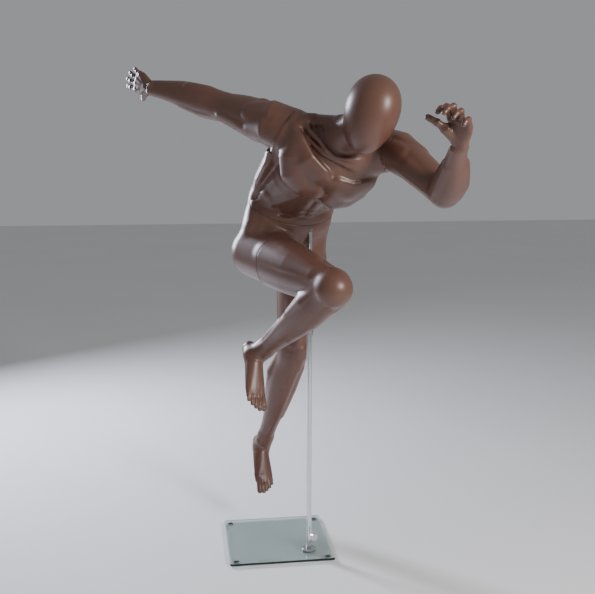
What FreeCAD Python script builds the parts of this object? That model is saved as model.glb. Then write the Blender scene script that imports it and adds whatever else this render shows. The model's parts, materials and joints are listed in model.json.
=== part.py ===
import FreeCAD, Part
import math
import os
from FreeCAD import Matrix, Placement, Rotation, Vector

# A full body mannequin in a leaping pose, held up by one chrome rod on a square glass plate.
# The origin is on the rod's axis at floor level. +X runs along the plate's front edge, -Y is the
# side that the chest faces, and +Z is up. Millimetres.

doc = FreeCAD.newDocument("mannequin")
sheet = doc.addObject("Spreadsheet::Sheet", "dims")

# ---------------------------------------------------------------- driving dimensions

SIZES = {
    "wall_thick": 3.0,
    "bulkhead_thick": 8.0,
    "wrist_bulkhead": 16.0,
    "seam_gap": 0.3,
    "glass_side": 380.0,
    "glass_thick": 8.0,
    "glass_corner": 10.0,
    "rod_inset": 85.0,
    "pad_high": 6.0,
    "pad_radius": 10.0,
    "pad_inset": 24.0,
    "centre_pad_radius": 26.0,
    "gasket_thick": 1.0,
    "flange_radius": 25.0,
    "flange_thick": 6.0,
    "flange_bevel": 2.0,
    "spigot_radius": 7.9,
    "spigot_high": 74.0,
    "bolt_radius": 5.0,
    "bolt_head_radius": 9.0,
    "bolt_head_high": 2.8,
    "washer_radius": 20.0,
    "washer_thick": 1.5,
    "rod_radius": 9.5,
    "rod_bore_radius": 8.0,
    "rod_top": 1298.0,
    "socket_radius": 13.0,
    "socket_bore_radius": 9.58,
    "socket_mouth": 1190.0,
    "socket_cap_thick": 5.0,
    "screw_high": 78.0,
    "thumb_radius": 3.0,
    "thumb_reach": 42.0,
    "thumb_head_radius": 13.0,
    "thumb_head_thick": 4.5,
    "head_long": 125.0,
    "head_wide": 83.0,
    "head_deep": 98.0,
    "run_clear": 0.08,
}

# Where the body's joints lie, as a person's would.
POINTS = {
    "waist": (-41, 62, 1266),
    "belly": (-10, -25, 1332),
    "chest": (30, -135, 1412),
    "neck": (74, -236, 1502),
    "skull": (143, -353, 1566),
    "right_shoulder": (-96, -123, 1519),
    "right_elbow": (-317, 105, 1615),
    "right_wrist": (-537, 267, 1683),
    "left_shoulder": (220, -242, 1458),
    "left_elbow": (319, -520, 1340),
    "left_wrist": (296, -708, 1472),
    "pelvis": (-70, 95, 1165),
    "right_hip": (-172, 55, 1110),
    "right_groin": (-117, -58, 1088),
    "right_knee": (22, -350, 1037),
    "right_ankle": (-170, -35, 772),
    "right_heel": (-212, 2, 768),
    "right_toe": (-181, -136, 606),
    "left_hip": (0, 138, 1163),
    "left_knee": (-40, 137, 726),
    "left_ankle": (-130, 321, 330),
    "left_heel": (-150, 362, 306),
    "left_toe": (-134, 238, 166),
}

# Half widths and half depths of the body's cross sections.
SECTIONS = {
    "waist_seam": (142, 107),
    "rib_low": (142, 107),
    "rib_mid": (152, 108),
    "rib_high": (165, 110),
    "yoke": (148, 97),
    "collar": (104, 76),
    "neck_seam": (64, 60),
    "neck_top": (60, 56),
    "belly_low": (150, 108),
    "hip_line": (160, 94),
    "seat": (132, 92),
    "crotch": (70, 52),
    "groin_root": (98, 98),
    "groin_seam": (86, 86),
    "shoulder_root": (84, 72),
    "right_shoulder_seam": (79, 64),
    "left_shoulder_seam": (66, 58),
    "right_deltoid": (68, 60),
    "left_deltoid": (62, 58),
    "biceps": (58, 54),
    "elbow": (49, 45),
    "forearm_high": (50, 45),
    "forearm_mid": (45, 38),
    "forearm_low": (33, 27),
    "wrist_seam": (28, 22),
    "thigh_high": (90, 86),
    "thigh_mid": (82, 79),
    "thigh_low": (69, 66),
    "knee": (62, 59),
    "shin_top": (59, 54),
    "calf": (61, 57),
    "shin_mid": (51, 47),
    "shin_low": (36, 33),
    "ankle": (33, 31),
    "heel": (27, 25),
    "instep": (34, 32),
    "arch": (37, 31),
    "ball": (45, 20),
    "toes": (37, 11),
    "palm_root": (29, 18),
    "palm_mid": (40, 17),
    "knuckles": (42, 13),
}

# Fittings at the seams: plate radius and thickness, stud radius and reach, screw circle and count.
FITTINGS = {
    "waist": (45, 4, 8, 34, 33, 4),
    "right_shoulder": (30, 3, 6, 24, 21, 3),
    "left_shoulder": (30, 3, 6, 24, 21, 3),
    "right_hip": (40, 4, 8, 32, 29, 4),
    "right_wrist": (15, 2, 4, 12, 10.5, 2),
    "left_wrist": (15, 2, 4, 12, 10.5, 2),
}
FITTING_WORDS = ("plate_radius", "plate_thick", "stud_radius", "stud_reach", "screw_circle", "screw_count")


def fill_sheet():
    """Writes every driving dimension into the sheet, one alias a row."""
    cells = dict(SIZES)
    for name, point in POINTS.items():
        for axis, value in zip("xyz", point):
            cells[f"{name}_at_{axis}"] = value
    for name, (wide, deep) in SECTIONS.items():
        cells[f"{name}_wide"] = wide
        cells[f"{name}_deep"] = deep
    for name, values in FITTINGS.items():
        for word, value in zip(FITTING_WORDS, values):
            cells[f"{name}_{word}"] = value
    for row, (alias, value) in enumerate(cells.items(), start=1):
        sheet.set(f"A{row}", alias)
        sheet.set(f"B{row}", str(value))
        sheet.setAlias(f"B{row}", alias)
    doc.recompute()


def size(alias):
    """A sheet cell's value as a number."""
    return float(getattr(sheet, alias))


def at(name):
    """A body point from the sheet."""
    return Vector(*(size(f"{name}_at_{axis}") for axis in "xyz"))


def towards(a, b, share):
    """The point a share of the way from a to b."""
    return a + (b - a) * share


def unit(vector):
    return Vector(vector).normalize()


# ---------------------------------------------------------------- building blocks


def turned(centre, normal, side=Vector(1, 0, 0)):
    """A placement at centre whose local Z is normal and whose local X leans towards side."""
    z = unit(normal)
    x = Vector(side) - z * z.dot(Vector(side))
    if x.Length < 1e-6:
        x = z.cross(Vector(0, 1, 0))
    x = unit(x)
    y = z.cross(x)
    matrix = Matrix(x.x, y.x, z.x, centre.x, x.y, y.y, z.y, centre.y, x.z, y.z, z.z, centre.z, 0, 0, 0, 1)
    return Placement(matrix)


def add(kind, name, **bound):
    """A document object whose named properties are bound to expressions on the sheet."""
    thing = doc.addObject(kind, name)
    thing.Label = name
    for prop, expression in bound.items():
        thing.setExpression(prop, expression)
    return thing


def cylinder(name, base, along, radius, height):
    """A cylinder from base along a direction, radius and height being expressions."""
    piece = add("Part::Cylinder", name, Radius=radius, Height=height)
    piece.Placement = turned(base, along)
    return piece


def fused(name, pieces):
    piece = add("Part::MultiFuse", name)
    piece.Shapes = pieces
    piece.Refine = False
    return piece


def cut(name, base, tools):
    """Base less one tool or several."""
    piece = add("Part::Cut", name)
    piece.Base = base
    piece.Tool = tools[0] if len(tools) == 1 else fused(f"{name}_tools", tools)
    piece.Refine = False
    return piece


def section(name, key, centre, normal, side, inset="0"):
    """One elliptical cross section, its long axis leaning towards side."""
    ring = add(
        "Part::Ellipse",
        name,
        MajorRadius=f"dims.{key}_wide - {inset}",
        MinorRadius=f"dims.{key}_deep - {inset}",
    )
    ring.Placement = turned(centre, normal, side)
    return ring


def loft(name, rings, straight=True):
    piece = add("Part::Loft", name)
    piece.Sections = rings
    piece.Solid = True
    piece.Ruled = straight
    return piece


def lofts(name, rings):
    """One straight loft between each ring and the next, which share their faces."""
    return [loft(f"{name}_{i}", rings[i:i + 2]) for i in range(len(rings) - 1)]


def limb(name, stations, first_cap=0.0, last_cap=0.0):
    """The lofted stretches of the body and the smaller ones of its hollow, caps being end walls.

    A station is (section key, centre, normal, side)."""
    outer = []
    inner = []
    last = len(stations) - 1
    for i, (key, centre, normal, side) in enumerate(stations):
        outer.append(section(f"{name}_{i}_skin", key, centre, normal, side))
        cap = first_cap if i == 0 else -last_cap if i == last else 0.0
        inside = centre + unit(normal) * cap
        inner.append(section(f"{name}_{i}_hollow", key, inside, normal, side, "dims.wall_thick"))
    return lofts(f"{name}_skin", outer), lofts(f"{name}_hollow", inner)


def joint_ball(name, key, centre):
    """A ball and its hollow where a limb folds, a little fuller than the limb."""
    ball = add("Part::Sphere", f"{name}_skin", Radius=f"dims.{key}_wide + 1")
    hollow = add("Part::Sphere", f"{name}_hollow", Radius=f"dims.{key}_wide + 1 - dims.wall_thick")
    for piece in (ball, hollow):
        piece.Placement = Placement(centre, Rotation())
    return [ball], [hollow]


def joined(name, groups):
    """Groups of pieces joined one group after another, which keeps every join exact."""
    whole = None
    for i, pieces in enumerate(groups):
        group = pieces[0] if len(pieces) == 1 else fused(f"{name}_{i}", pieces)
        whole = group if whole is None else fused(f"{name}_to_{i}", [whole, group])
    return whole


def shell(name, parts, tools):
    """The skins joined, less each hollow and each tool in turn."""
    work = joined(f"{name}_skins", [skin for skin, _ in parts])
    hollows = [joined(f"{name}_hollow_{i}", [hollow]) for i, (_, hollow) in enumerate(parts)]
    steps = [*hollows, *tools]
    for i, tool in enumerate(steps):
        work = cut(name if i == len(steps) - 1 else f"{name}_step_{i}", work, [tool])
    return work


class Seam:
    """A flat seam between two shells, with a steel fitting let into each face."""

    def __init__(self, name, normal, pull=None, bulkhead="bulkhead_thick"):
        self.name = name
        self.centre = at(SEAM_POINTS[name])
        self.normal = unit(normal)
        self.pull = unit(pull) if pull else self.normal
        half = size("seam_gap") / 2
        self.parent_face = self.centre - self.normal * half
        self.child_face = self.centre + self.normal * half
        self.bulkhead = size(bulkhead)

    def dim(self, word):
        return size(f"{self.name}_{word}")

    def ref(self, word):
        return f"dims.{self.name}_{word}"

    def screws(self, side, face, inward):
        """Countersunk screws through one plate into its bulkhead."""
        pieces = []
        count = int(self.dim("screw_count"))
        thick = self.dim("plate_thick")
        shank = thick + (6.0 if thick > 2.5 else 8.0)
        across = turned(face, self.normal, Vector(0, 0.3, 1))
        for i in range(count):
            turn = Rotation(Vector(0, 0, 1), 360.0 * (i + 0.5) / count)
            spot = across.multVec(turn.multVec(Vector(self.dim("screw_circle"), 0, 0)))
            radius = 0.35 * thick + 0.6
            stem = cylinder(f"{self.name}_{side}_stem_{i}", spot, inward, f"{radius}", f"{shank}")
            sink = add("Part::Cone", f"{self.name}_{side}_sink_{i}", Radius1=f"{2 * radius}",
                       Radius2=f"{0.9 * radius}", Height=f"{0.6 * thick}")
            sink.Placement = turned(spot, inward)
            pieces.append(fused(f"{self.name}_{side}_screw_{i}", [stem, sink]))
        group = add("Part::Compound", f"{self.name}_{side}_screws")
        group.Links = pieces
        return group

    def build(self):
        """The socket plate on the parent's face and the stud plate on the child's."""
        name = self.name
        n, pull = self.normal, self.pull
        plate_r, plate_t = self.ref("plate_radius"), self.ref("plate_thick")
        reach = self.dim("stud_reach")
        # Socket side.
        disc = cylinder(f"{name}_socket_disc", self.parent_face, -n, plate_r, plate_t)
        tube = cylinder(f"{name}_socket_tube", self.centre + pull * 12, -pull,
                        f"{self.ref('stud_radius')} + 3.5", f"{self.ref('stud_reach')} + 15")
        lid = cylinder(f"{name}_socket_lid", self.parent_face, n, f"{plate_r} + 20", "40")
        bore = cylinder(f"{name}_socket_bore", self.centre + pull * 20, -pull,
                        f"{self.ref('stud_radius')} + dims.run_clear", f"{self.ref('stud_reach')} + 20.5")
        self.socket_screws = self.screws("socket", self.parent_face, -n)
        body = cut(f"{name}_socket_body", fused(f"{name}_socket_raw", [disc, tube]), [lid, bore])
        self.socket = cut(f"{name}_socket", body, [self.socket_screws])
        recess = cylinder(f"{name}_socket_recess", self.parent_face + n * 1, -n, plate_r, f"{plate_t} + 1")
        well = cylinder(f"{name}_socket_well", self.centre + pull * 12, -pull,
                        f"{self.ref('stud_radius')} + 3.5", f"{self.ref('stud_reach')} + 15")
        self.parent_tools = [recess, well, self.socket_screws]
        # Stud side.
        plate = cylinder(f"{name}_stud_disc", self.child_face, n, plate_r, plate_t)
        stud = cylinder(f"{name}_stud_pin", self.centre + pull * 20, -pull, self.ref("stud_radius"),
                        f"{self.ref('stud_reach')} + 20")
        back = cylinder(f"{name}_stud_back", self.child_face + n * self.dim("plate_thick"), n,
                        f"{plate_r} + 20", "60")
        self.stud_screws = self.screws("stud", self.child_face, n)
        pin = cut(f"{name}_stud_short", stud, [back])
        whole = fused(f"{name}_stud_raw", [plate, pin])
        self.stud = cut(f"{name}_stud", whole, [self.stud_screws])
        pocket = cylinder(f"{name}_stud_recess", self.child_face - n * 1, n, plate_r, f"{plate_t} + 1")
        self.child_tools = [pocket, self.stud_screws]
        return self


SEAM_POINTS = {
    "waist": "waist",
    "right_shoulder": "right_shoulder",
    "left_shoulder": "left_shoulder",
    "right_hip": "right_groin",
    "right_wrist": "right_wrist",
    "left_wrist": "left_wrist",
}

fill_sheet()

# ---------------------------------------------------------------- directions

UP = Vector(0, 0, 1)
WAIST_NORMAL = Vector(0.20, -0.50, 0.84)
NECK_NORMAL = Vector(0.32, -0.62, 0.71)
RIGHT_SHOULDER_NORMAL = Vector(-0.78, 0.35, 0.52)
LEFT_SHOULDER_NORMAL = Vector(0.93, -0.28, -0.24)
THIGH_R = unit(at("right_knee") - at("right_hip"))
ARM_DOWN = Vector(0.2, 0, -0.98)
FOREARM_R = unit(at("right_wrist") - at("right_elbow"))
FOREARM_L = unit(at("left_wrist") - at("left_elbow"))

WAIST = Seam("waist", WAIST_NORMAL, pull=UP).build()
SHOULDER_R = Seam("right_shoulder", RIGHT_SHOULDER_NORMAL).build()
SHOULDER_L = Seam("left_shoulder", LEFT_SHOULDER_NORMAL).build()
HIP_R = Seam("right_hip", THIGH_R).build()
WRIST_R = Seam("right_wrist", FOREARM_R, bulkhead="wrist_bulkhead").build()
WRIST_L = Seam("left_wrist", FOREARM_L, bulkhead="wrist_bulkhead").build()

# ---------------------------------------------------------------- stand


def glass_plate():
    """The square plate with rounded corners, drilled for the bolt."""
    half = size("glass_side") / 2
    inset = size("rod_inset")
    plate = add("Part::Box", "glass_blank", Length="dims.glass_side", Width="dims.glass_side",
                Height="dims.glass_thick")
    low = Vector(inset - 2 * half, -inset, size("pad_high"))
    plate.Placement = Placement(low, Rotation())
    doc.recompute()
    rounded = add("Part::Fillet", "glass_rounded")
    rounded.Base = plate
    uprights = [
        (i, size("glass_corner"), size("glass_corner"))
        for i, edge in enumerate(plate.Shape.Edges, start=1)
        if abs(edge.BoundBox.ZLength - size("glass_thick")) < 1e-6 and edge.BoundBox.XLength < 1e-6
        and edge.BoundBox.YLength < 1e-6
    ]
    rounded.Edges = uprights
    hole = cylinder("glass_hole", Vector(0, 0, 0), UP, "dims.bolt_radius + 1", "40")
    return cut("glass_base", rounded, [hole])


def corner_pads():
    """Four clear bumpers under the plate's corners."""
    inset = size("rod_inset")
    side = size("glass_side")
    edge = size("pad_inset")
    pads = []
    for i, x in enumerate((inset - side + edge, inset - edge)):
        for j, y in enumerate((edge - inset, side - inset - edge)):
            pads.append(cylinder(f"corner_pad_{i}{j}", Vector(x, y, 0), UP, "dims.pad_radius", "dims.pad_high"))
    group = add("Part::Compound", "corner_pads")
    group.Links = pads
    return group


def centre_pad():
    """A rubber cap over the bolt head, its flat underside on the floor."""
    disc = cylinder("centre_pad_disc", Vector(0, 0, 0), UP, "dims.centre_pad_radius", "dims.pad_high")
    floor = size("pad_high") - size("washer_thick") - size("bolt_head_high")
    pocket = cylinder("centre_pad_pocket", Vector(0, 0, floor), UP, "dims.washer_radius + 0.2", "20")
    return cut("centre_pad", disc, [pocket])


def base_fixings():
    """The washer and bolt below the glass and the gasket above it."""
    under = size("pad_high")
    washer_low = under - size("washer_thick")
    washer = cylinder("washer_disc", Vector(0, 0, washer_low), UP, "dims.washer_radius", "dims.washer_thick")
    washer_hole = cylinder("washer_hole", Vector(0, 0, 0), UP, "dims.bolt_radius + 0.3", "40")
    base_washer = cut("base_washer", washer, [washer_hole])
    head = cylinder("bolt_head", Vector(0, 0, washer_low - size("bolt_head_high")), UP,
                    "dims.bolt_head_radius", "dims.bolt_head_high")
    shank = cylinder("bolt_shank", Vector(0, 0, washer_low - 1), UP, "dims.bolt_radius", "36")
    key = add("Part::Prism", "bolt_key", Circumradius="3.2", Height="1.8")
    key.Polygon = 6
    key.Placement = Placement(Vector(0, 0, washer_low - size("bolt_head_high") - 0.2), Rotation())
    bolt = cut("base_bolt", fused("bolt_raw", [head, shank]), [key])
    top = under + size("glass_thick")
    ring = cylinder("gasket_disc", Vector(0, 0, top), UP, "dims.flange_radius - 1", "dims.gasket_thick")
    ring_hole = cylinder("gasket_hole", Vector(0, 0, 0), UP, "dims.bolt_radius + 1", "40")
    gasket = cut("base_gasket", ring, [ring_hole])
    return [base_washer, bolt, gasket]


def base_flange():
    """A turned steel flange and spigot, made as one revolved profile."""
    body = doc.addObject("PartDesign::Body", "base_flange")
    body.Label = "base_flange"
    plane = next(f for f in body.Origin.OriginFeatures if f.Role == "XZ_Plane")
    sketch = body.newObject("Sketcher::SketchObject", "flange_profile")
    sketch.AttachmentSupport = [(plane, "")]
    sketch.MapMode = "FlatFace"
    low = size("pad_high") + size("glass_thick") + size("gasket_thick")
    thick, bevel = size("flange_thick"), size("flange_bevel")
    wide, post, tall = size("flange_radius"), size("spigot_radius"), size("spigot_high")
    thread = size("bolt_radius")
    corners = [
        (thread, low), (wide, low), (wide, low + thick - bevel), (wide - bevel, low + thick),
        (post, low + thick), (post, low + thick + tall - 1), (post - 1, low + thick + tall),
        (0, low + thick + tall), (0, low + 26), (thread, low + 26),
    ]
    for (x0, z0), (x1, z1) in zip(corners, corners[1:] + corners[:1]):
        sketch.addGeometry(Part.LineSegment(Vector(x0, z0, 0), Vector(x1, z1, 0)), False)
    turn = body.newObject("PartDesign::Revolution", "flange_turned")
    turn.Profile = sketch
    turn.ReferenceAxis = (sketch, ["V_Axis"])
    turn.Angle = 360.0
    body.Tip = turn
    return body


def support_rod():
    """The chrome tube, with a threaded hole in its wall for the thumb screw."""
    low = size("pad_high") + size("glass_thick") + size("gasket_thick") + size("flange_thick") + 0.3
    tube = cylinder("rod_outside", Vector(0, 0, low), UP, "dims.rod_radius", f"dims.rod_top - {low}")
    bore = cylinder("rod_inside", Vector(0, 0, low - 5), UP, "dims.rod_bore_radius", "2000")
    tapped = cylinder("rod_tapped", Vector(0, 0, size("screw_high")), THUMB_AXIS, "dims.thumb_radius + 0.05", "30")
    return cut("support_rod", tube, [bore, tapped])


THUMB_AXIS = unit(Vector(0.30, -0.954, 0))


def thumb_screw():
    """A screw with a coin-shaped head, threaded through the rod's wall onto the spigot."""
    foot = Vector(0, 0, size("screw_high")) + THUMB_AXIS * (size("spigot_radius") + 0.2)
    stem = cylinder("thumb_stem", foot, THUMB_AXIS, "dims.thumb_radius", "dims.thumb_reach - dims.spigot_radius")
    out = Vector(0, 0, size("screw_high")) + THUMB_AXIS * size("thumb_reach")
    collar = cylinder("thumb_collar", out - THUMB_AXIS * 6, THUMB_AXIS, "dims.thumb_radius + 2.5", "7")
    coin = cylinder("thumb_coin", out, THUMB_AXIS, "dims.thumb_head_radius", "dims.thumb_head_thick")
    return fused("thumb_screw", [stem, collar, coin])


def rod_socket():
    """The steel tube in the pelvis that drops over the rod, closed by a cap."""
    mouth = size("socket_mouth")
    tube = cylinder("socket_outside", Vector(0, 0, mouth), UP, "dims.socket_radius",
                    "dims.rod_top + dims.socket_cap_thick - dims.socket_mouth")
    bore = cylinder("socket_inside", Vector(0, 0, mouth - 5), UP, "dims.socket_bore_radius",
                    "dims.rod_top + 5 - dims.socket_mouth")
    return cut("rod_socket", tube, [bore])


SOCKET_WELL = cylinder("socket_well", Vector(0, 0, 1120), UP, "dims.socket_radius", "300")
SOCKET_CLEAR = cylinder("socket_clear", Vector(0, 0, 1120), UP, "dims.socket_radius + 1.5", "205")

stand = [glass_plate(), corner_pads(), centre_pad(), *base_fixings(), base_flange(), support_rod(), thumb_screw(),
         rod_socket()]

# ---------------------------------------------------------------- body shells

HIPS_ACROSS = Vector(0.87, 0.48, 0.08)
KNUCKLE = 1.05
CHEST_ACROSS = Vector(0.92, -0.33, -0.22)


def pelvis_and_left_leg():
    """Pelvis, the fixed left leg and foot, with the root of the right thigh."""
    cap = size("bulkhead_thick")
    pelvis = at("pelvis")
    trunk = limb("pelvis", [
        ("waist_seam", WAIST.parent_face, -WAIST.normal, Vector(0.95, 0.28, 0)),
        ("belly_low", pelvis + Vector(20, -20, 62), Vector(-0.12, 0.30, -0.94), Vector(0.91, 0.40, 0.02)),
        ("hip_line", pelvis, Vector(-0.03, 0.10, -1), HIPS_ACROSS),
        ("seat", pelvis + Vector(-6, 8, -58), -UP, HIPS_ACROSS),
        ("crotch", pelvis + Vector(-4, 10, -104), -UP, HIPS_ACROSS),
    ], first_cap=cap, last_cap=4)
    hip = at("right_hip")
    root = limb("groin", [
        ("groin_root", hip + Vector(-4, 2, -4), THIGH_R, UP),
        ("groin_seam", HIP_R.parent_face, THIGH_R, UP),
    ], first_cap=3, last_cap=cap)
    hip_l, knee, ankle = at("left_hip"), at("left_knee"), at("left_ankle")
    down = unit(knee - hip_l)
    shin = unit(ankle - knee)
    front = Vector(0.5, -0.86, 0)
    leg = limb("left_leg", [
        ("thigh_high", hip_l + Vector(-6, -8, 10), down, front),
        ("thigh_high", towards(hip_l, knee, 0.24), down, front),
        ("thigh_mid", towards(hip_l, knee, 0.48), down, front),
        ("thigh_low", towards(hip_l, knee, 0.74), down, front),
        ("knee", towards(hip_l, knee, 0.97), down + shin * 0.4, front),
        ("shin_top", towards(knee, ankle, 0.12), shin, front),
        ("calf", towards(knee, ankle, 0.30) + Vector(-4, 7, 0), shin, front),
        ("shin_mid", towards(knee, ankle, 0.54), shin, front),
        ("shin_low", towards(knee, ankle, 0.80), shin, front),
        ("ankle", towards(knee, ankle, 1.08), shin, front),
    ], first_cap=3, last_cap=3)
    sole = foot("left")
    torso_room = cylinder("torso_room", WAIST.parent_face, WAIST_NORMAL, "220", "90")
    return shell("pelvis_left_leg", [trunk, root, leg, sole],
                 [SOCKET_WELL, torso_room, *WAIST.parent_tools, *HIP_R.parent_tools])


def foot(side):
    """A foot from heel to toes, its instep on the shin's side."""
    heel, toe = at(f"{side}_heel"), at(f"{side}_toe")
    along = unit(toe - heel)
    rise = at(f"{side}_knee") - at(f"{side}_ankle")
    rise = unit(rise - along * along.dot(rise))
    across = along.cross(rise)
    shape = [("heel", 0.02, 4), ("instep", 0.20, 10), ("arch", 0.46, 9), ("ball", 0.74, 0), ("toes", 0.985, -6)]
    stations = [(key, towards(heel, toe, t) + rise * up, along, across) for key, t, up in shape]
    return limb(f"{side}_foot", stations, first_cap=3, last_cap=3)


def right_leg():
    """The raised right leg, which comes off at the groin."""
    hip, knee, ankle = at("right_hip"), at("right_knee"), at("right_ankle")
    shin = unit(ankle - knee)
    thigh = limb("right_thigh", [
        ("groin_seam", HIP_R.child_face, THIGH_R, UP),
        ("thigh_mid", towards(hip, knee, 0.52), THIGH_R, UP),
        ("thigh_low", towards(hip, knee, 0.76), THIGH_R, UP),
        ("knee", towards(hip, knee, 0.99), THIGH_R, UP),
    ], first_cap=size("bulkhead_thick"))
    ball = joint_ball("right_knee", "knee", knee)
    fore = Vector(0.6, -0.3, -0.6)
    calf = limb("right_calf", [
        ("knee", towards(knee, ankle, 0.01), shin, fore),
        ("shin_top", towards(knee, ankle, 0.13), shin, fore),
        ("calf", towards(knee, ankle, 0.30), shin, fore),
        ("shin_mid", towards(knee, ankle, 0.54), shin, fore),
        ("shin_low", towards(knee, ankle, 0.80), shin, fore),
        ("ankle", towards(knee, ankle, 1.07), shin, fore),
    ], last_cap=3)
    sole = foot("right")
    return shell("right_leg", [thigh, ball, calf, sole], HIP_R.child_tools)


def upper_torso():
    """Waist to neck with both shoulder roots."""
    cap = size("bulkhead_thick")
    trunk = limb("trunk", [
        ("waist_seam", WAIST.child_face, WAIST.normal, Vector(0.95, 0.28, 0)),
        ("rib_low", at("waist") + Vector(12, -38, 50), Vector(0.22, -0.55, 0.80), Vector(0.98, 0.16, -0.08)),
        ("rib_mid", at("belly") + Vector(12, -40, 28), Vector(0.25, -0.61, 0.75), Vector(0.98, -0.02, -0.14)),
        ("rib_high", at("chest"), Vector(0.28, -0.65, 0.71), Vector(0.95, -0.2, -0.2)),
        ("yoke", at("chest") + Vector(20, -42, 40), Vector(0.30, -0.66, 0.69), CHEST_ACROSS),
        ("collar", at("neck") + Vector(-12, 26, -24), Vector(0.31, -0.64, 0.70), CHEST_ACROSS),
        ("neck_seam", at("neck"), NECK_NORMAL, CHEST_ACROSS),
    ], first_cap=cap, last_cap=4)
    right = limb("right_root", [
        ("shoulder_root", Vector(8, -160, 1462), RIGHT_SHOULDER_NORMAL, ARM_DOWN),
        ("right_shoulder_seam", SHOULDER_R.parent_face, RIGHT_SHOULDER_NORMAL, ARM_DOWN),
    ], first_cap=3, last_cap=cap)
    left = limb("left_root", [
        ("shoulder_root", Vector(116, -207, 1452), LEFT_SHOULDER_NORMAL, UP),
        ("left_shoulder_seam", SHOULDER_L.parent_face, LEFT_SHOULDER_NORMAL, UP),
    ], first_cap=3, last_cap=cap)
    neck, skull = at("neck"), at("skull")
    head_room = lofts("head_room", [
        section(f"head_room_{i}", key, centre, normal, CHEST_ACROSS, "-0.4")
        for i, (key, centre, normal) in enumerate([
            ("neck_seam", neck, NECK_NORMAL),
            ("neck_top", towards(neck, skull, 0.42), unit(skull - neck)),
            ("neck_top", towards(neck, skull, 0.85), unit(skull - neck)),
        ])
    ])
    spare = [
        *head_room,
        cylinder("right_arm_room", SHOULDER_R.parent_face, RIGHT_SHOULDER_NORMAL, "100", "80"),
        cylinder("left_arm_room", SHOULDER_L.parent_face, LEFT_SHOULDER_NORMAL, "95", "80"),
    ]
    return shell("upper_torso", [trunk, right, left],
                 [SOCKET_CLEAR, *spare, *WAIST.child_tools, *SHOULDER_R.parent_tools, *SHOULDER_L.parent_tools])


def head():
    """A smooth egg on its neck, moulded as one shell."""
    centre = at("skull")
    crown = unit(Vector(0.18, -0.10, 0.98))
    neck = at("neck")
    throat = limb("throat", [
        ("neck_seam", neck, NECK_NORMAL, CHEST_ACROSS),
        ("neck_top", towards(neck, centre, 0.42), unit(centre - neck), CHEST_ACROSS),
        ("neck_top", towards(neck, centre, 0.85), unit(centre - neck), CHEST_ACROSS),
    ], first_cap=4)
    rings = {"": [], "_hollow": []}
    steps = 9
    for i in range(steps):
        share = -0.985 + 1.97 * i / (steps - 1)
        bulge = (1 - share * share) ** 0.5 * (1.0 + 0.10 * share)
        for suffix, inset in (("", "0"), ("_hollow", "dims.wall_thick")):
            ring = add("Part::Ellipse", f"egg_{i}{suffix}",
                       MajorRadius=f"(dims.head_deep - {inset}) * {bulge:.4f}",
                       MinorRadius=f"(dims.head_wide - {inset}) * {bulge:.4f}")
            reach = (size("head_long") - (size("wall_thick") if suffix else 0)) * share
            ring.Placement = turned(centre + crown * reach, crown, Vector(-0.3, 1, 0))
            rings[suffix].append(ring)
    egg = ([loft("egg_skin", rings[""], False)], [loft("egg_hollow", rings["_hollow"], False)])
    return shell("head", [throat, egg], [])


def right_arm():
    """The right arm, thrown back, from shoulder seam to wrist seam."""
    shoulder, elbow, wrist = at("right_shoulder"), at("right_elbow"), at("right_wrist")
    upper = unit(elbow - shoulder)
    arm = limb("right_reach", [
        ("right_shoulder_seam", SHOULDER_R.child_face, RIGHT_SHOULDER_NORMAL, ARM_DOWN),
        ("right_deltoid", towards(shoulder, elbow, 0.22), upper + unit(RIGHT_SHOULDER_NORMAL) * 0.5, ARM_DOWN),
        ("biceps", towards(shoulder, elbow, 0.52), upper, ARM_DOWN),
        ("elbow", towards(shoulder, elbow, 0.90), upper, ARM_DOWN),
        ("forearm_high", towards(elbow, wrist, 0.16), FOREARM_R, ARM_DOWN),
        ("forearm_mid", towards(elbow, wrist, 0.45), FOREARM_R, ARM_DOWN),
        ("forearm_low", towards(elbow, wrist, 0.78), FOREARM_R, ARM_DOWN),
        ("wrist_seam", WRIST_R.parent_face, FOREARM_R, ARM_DOWN),
    ], first_cap=size("bulkhead_thick"), last_cap=size("wrist_bulkhead"))
    return shell("right_arm", [arm], [*SHOULDER_R.child_tools, *WRIST_R.parent_tools])


def left_arm():
    """The left arm, folded at the elbow and reaching forward."""
    shoulder, elbow, wrist = at("left_shoulder"), at("left_elbow"), at("left_wrist")
    upper = unit(elbow - shoulder)
    out = Vector(0.9, 0.3, 0.1)
    above = limb("left_upper_arm", [
        ("left_shoulder_seam", SHOULDER_L.child_face, LEFT_SHOULDER_NORMAL, UP),
        ("left_deltoid", towards(shoulder, elbow, 0.25), upper + unit(LEFT_SHOULDER_NORMAL) * 0.6, UP),
        ("biceps", towards(shoulder, elbow, 0.55), upper, UP),
        ("elbow", towards(shoulder, elbow, 0.98), upper, UP),
    ], first_cap=size("bulkhead_thick"))
    ball = joint_ball("left_elbow", "elbow", elbow)
    below = limb("left_forearm", [
        ("elbow", towards(elbow, wrist, 0.02), FOREARM_L, out),
        ("forearm_high", towards(elbow, wrist, 0.20), FOREARM_L, out),
        ("forearm_mid", towards(elbow, wrist, 0.50), FOREARM_L, out),
        ("forearm_low", towards(elbow, wrist, 0.80), FOREARM_L, out),
        ("wrist_seam", WRIST_L.parent_face, FOREARM_L, out),
    ], last_cap=size("wrist_bulkhead"))
    return shell("left_arm", [above, ball, below], [*SHOULDER_L.child_tools, *WRIST_L.parent_tools])


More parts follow.
